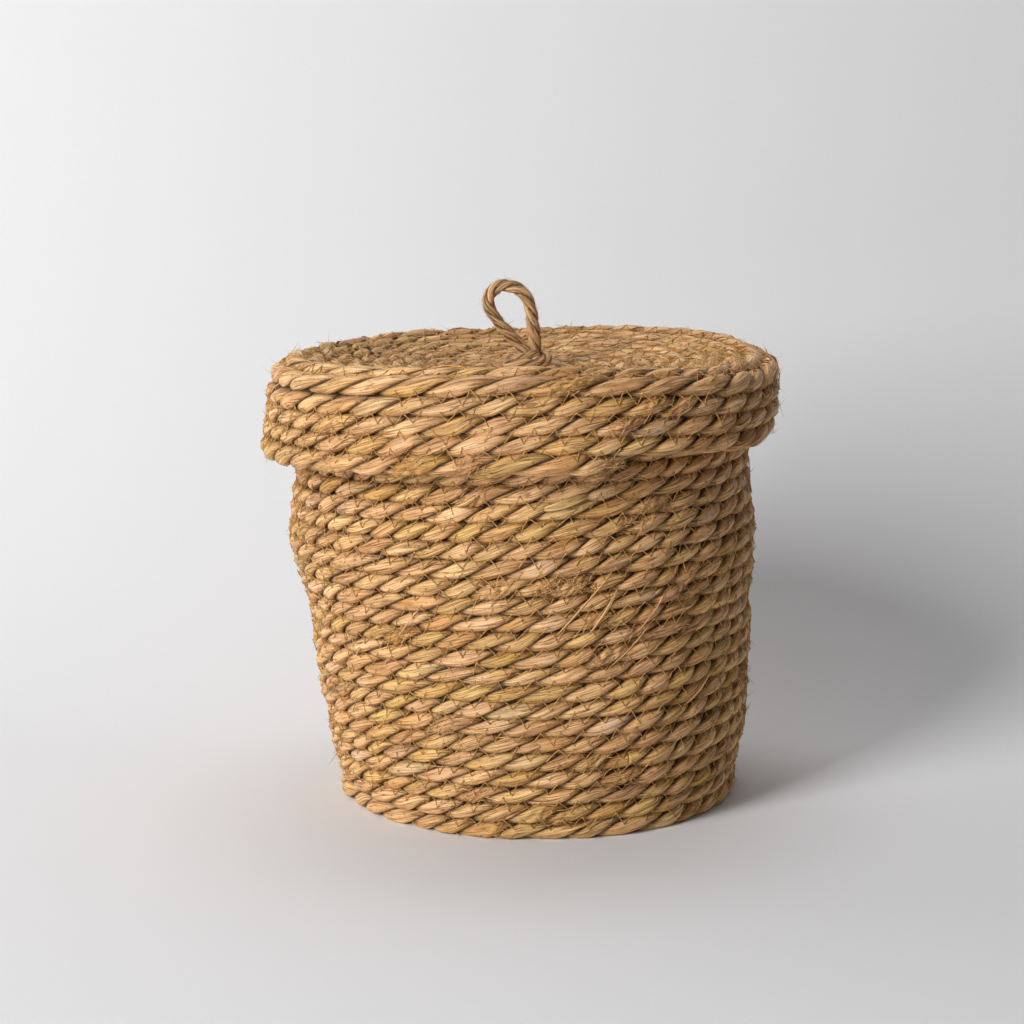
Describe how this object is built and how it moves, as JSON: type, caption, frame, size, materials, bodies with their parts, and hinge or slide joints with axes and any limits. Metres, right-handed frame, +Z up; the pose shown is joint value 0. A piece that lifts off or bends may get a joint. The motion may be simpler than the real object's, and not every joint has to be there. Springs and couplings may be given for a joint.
{
  "type": "lidded basket",
  "caption": "Round, slightly tapered basket coiled from twisted grass rope and stitched with thread, with a lift-off lid that has a cord loop.",
  "frame": {"origin": "on the floor, on the axis of the lid and the rim", "axes": "+Z up through the lid, +X to the right seen from the front, -Y towards the front"},
  "size_m": [0.2576, 0.2575, 0.2614],
  "materials": {
    "body_rope": "twisted dry grass, matte with a faint straw sheen",
    "lid_rope": "twisted dry grass, matte with a faint straw sheen",
    "stitch_thread": "spun thread, matte",
    "jute_cord": "hairy three-ply jute, matte"
  },
  "bodies": {
    "basket": {"base_rope": "body_rope", "base_stitching": "stitch_thread", "wall_rope": "body_rope", "wall_stitching": "stitch_thread"},
    "lid": {"lid_top_rope": "lid_rope", "lid_top_stitching": "stitch_thread", "lid_skirt_rope": "lid_rope", "lid_skirt_stitching": "stitch_thread"},
    "handle_knots": {"upper_knot": "jute_cord", "cord_stem": "jute_cord", "stopper_knot": "jute_cord"},
    "handle_loop": {"handle_loop": "jute_cord"}
  },
  "joints": [
    {"name": "lid_lift", "type": "slide", "parent": "basket", "child": "lid", "axis": [0, 0, 1], "range_m": [0, 0.12]},
    {"name": "handle_swivel", "type": "hinge", "parent": "lid", "child": "handle_knots", "pos_m": [-0.00009, 0, 0.21735], "axis": [-0.0244, 0, 0.9997], "continuous": true},
    {"name": "loop_fold", "type": "hinge", "parent": "handle_knots", "child": "handle_loop", "pos_m": [-0.00145, 0, 0.23232], "axis": [0.9997, 0, 0.0244], "range_deg": [-80, 80]}
  ]
}
